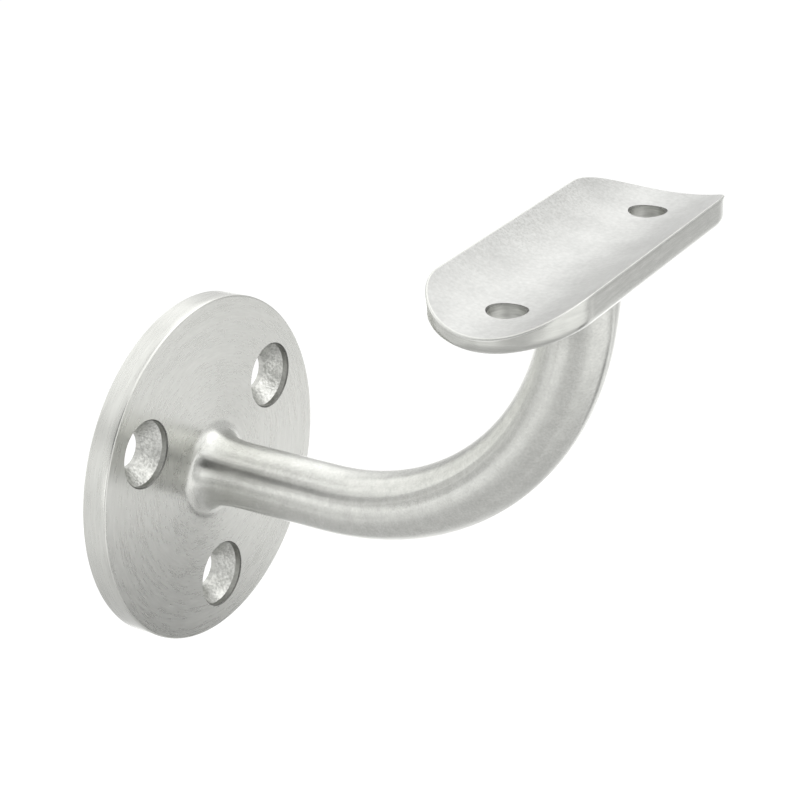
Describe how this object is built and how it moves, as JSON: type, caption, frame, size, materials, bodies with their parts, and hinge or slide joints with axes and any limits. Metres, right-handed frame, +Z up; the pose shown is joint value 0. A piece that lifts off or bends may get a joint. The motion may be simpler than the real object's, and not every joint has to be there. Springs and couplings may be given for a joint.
{
  "type": "handrail bracket",
  "caption": "Cast bracket that holds a handrail off a wall: round screw-on flange, upswept round arm and curved saddle for the rail.",
  "frame": {"origin": "centre of the wall flange's back face, on the wall", "axes": "+X out of the wall along the arm's level stretch, +Y along the handrail, +Z up towards the rail"},
  "size_m": [0.0922, 0.07, 0.0899],
  "materials": {
    "bracket": "satin, circular brushing on the flange, lengthwise on the arm, blasted seat"
  },
  "bodies": {
    "root": {"handrail_bracket": "bracket"}
  },
  "joints": []
}
